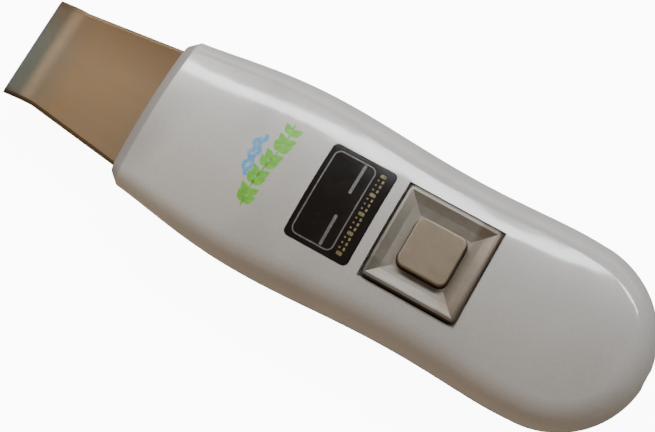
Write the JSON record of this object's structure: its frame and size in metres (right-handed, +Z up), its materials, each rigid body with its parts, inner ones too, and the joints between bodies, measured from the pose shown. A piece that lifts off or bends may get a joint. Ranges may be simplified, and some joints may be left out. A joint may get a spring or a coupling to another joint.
{
  "type": "ultrasonic skin scrubber",
  "caption": "Handheld facial spatula: rounded pearl handle, framed square push button, black display window and a flat metal blade with a bent tip.",
  "frame": {"origin": "on the rest plane under the middle of the overall length and width", "axes": "+X along the handle towards the blade tip, +Y to the left seen from above with the blade ahead, +Z up out of the button"},
  "size_m": [0.1698, 0.0488, 0.0233],
  "materials": {
    "pearl_shell": "pearl gloss",
    "blade_steel": "brushed champagne",
    "gasket": "matt",
    "piezo": "silvered",
    "inner_plastic": "moulded",
    "screw_steel": "zinc plated",
    "plated_metal": "satin plated",
    "plated_button": "satin plated",
    "black_window": "glossy black",
    "adhesive": "matt",
    "board": "solder mask",
    "black_component": "moulded",
    "white_guide": "satin",
    "lamp": "clear",
    "ferrite": "sintered",
    "copper": "enamelled copper",
    "capacitor_can": "sleeved",
    "connector_white": "moulded",
    "battery_pouch": "foil",
    "foam": "foam",
    "contact_metal": "plated",
    "wire_insulation": "insulation"
  },
  "bodies": {
    "handset": {"battery_cell": "battery_pouch", "battery_connector": "connector_white", "battery_foam_pads": "foam", "battery_protection_board": "board", "battery_wires": "wire_insulation", "blade": "blade_steel", "blade_clamp": "inner_plastic", "blade_gasket": "gasket", "board_screws": "screw_steel", "bottom_shell": "pearl_shell", "button_bezel": "plated_metal", "case_screws": "screw_steel", "charge_chip": "black_component", "charge_jack_contact": "contact_metal", "charge_jack_housing": "black_component", "charge_jack_pin": "contact_metal", "charge_jack_wires": "wire_insulation", "clamp_screws": "screw_steel", "control_chip": "black_component", "damper_pads": "gasket", "display_window": "black_window", "drive_transistors": "black_component", "filter_capacitor": "capacitor_can", "indicator_lamps": "lamp", "light_guide": "white_guide", "main_board": "board", "piezo_disc_lower": "piezo", "piezo_disc_upper": "piezo", "switch_cover": "screw_steel", "switch_housing": "black_component", "top_shell": "pearl_shell", "transducer_connector": "connector_white", "transducer_wires": "wire_insulation", "transformer_core": "ferrite", "transformer_winding": "copper", "window_adhesive": "adhesive"},
    "button": {"button_cap": "plated_button", "switch_plunger": "black_component"}
  },
  "joints": [
    {"name": "button_press", "type": "slide", "parent": "handset", "child": "button", "axis": [0, 0, -1], "range_m": [0, 0.0004], "stiffness_N_per_m": 3500, "springref_m": -0.0002}
  ]
}
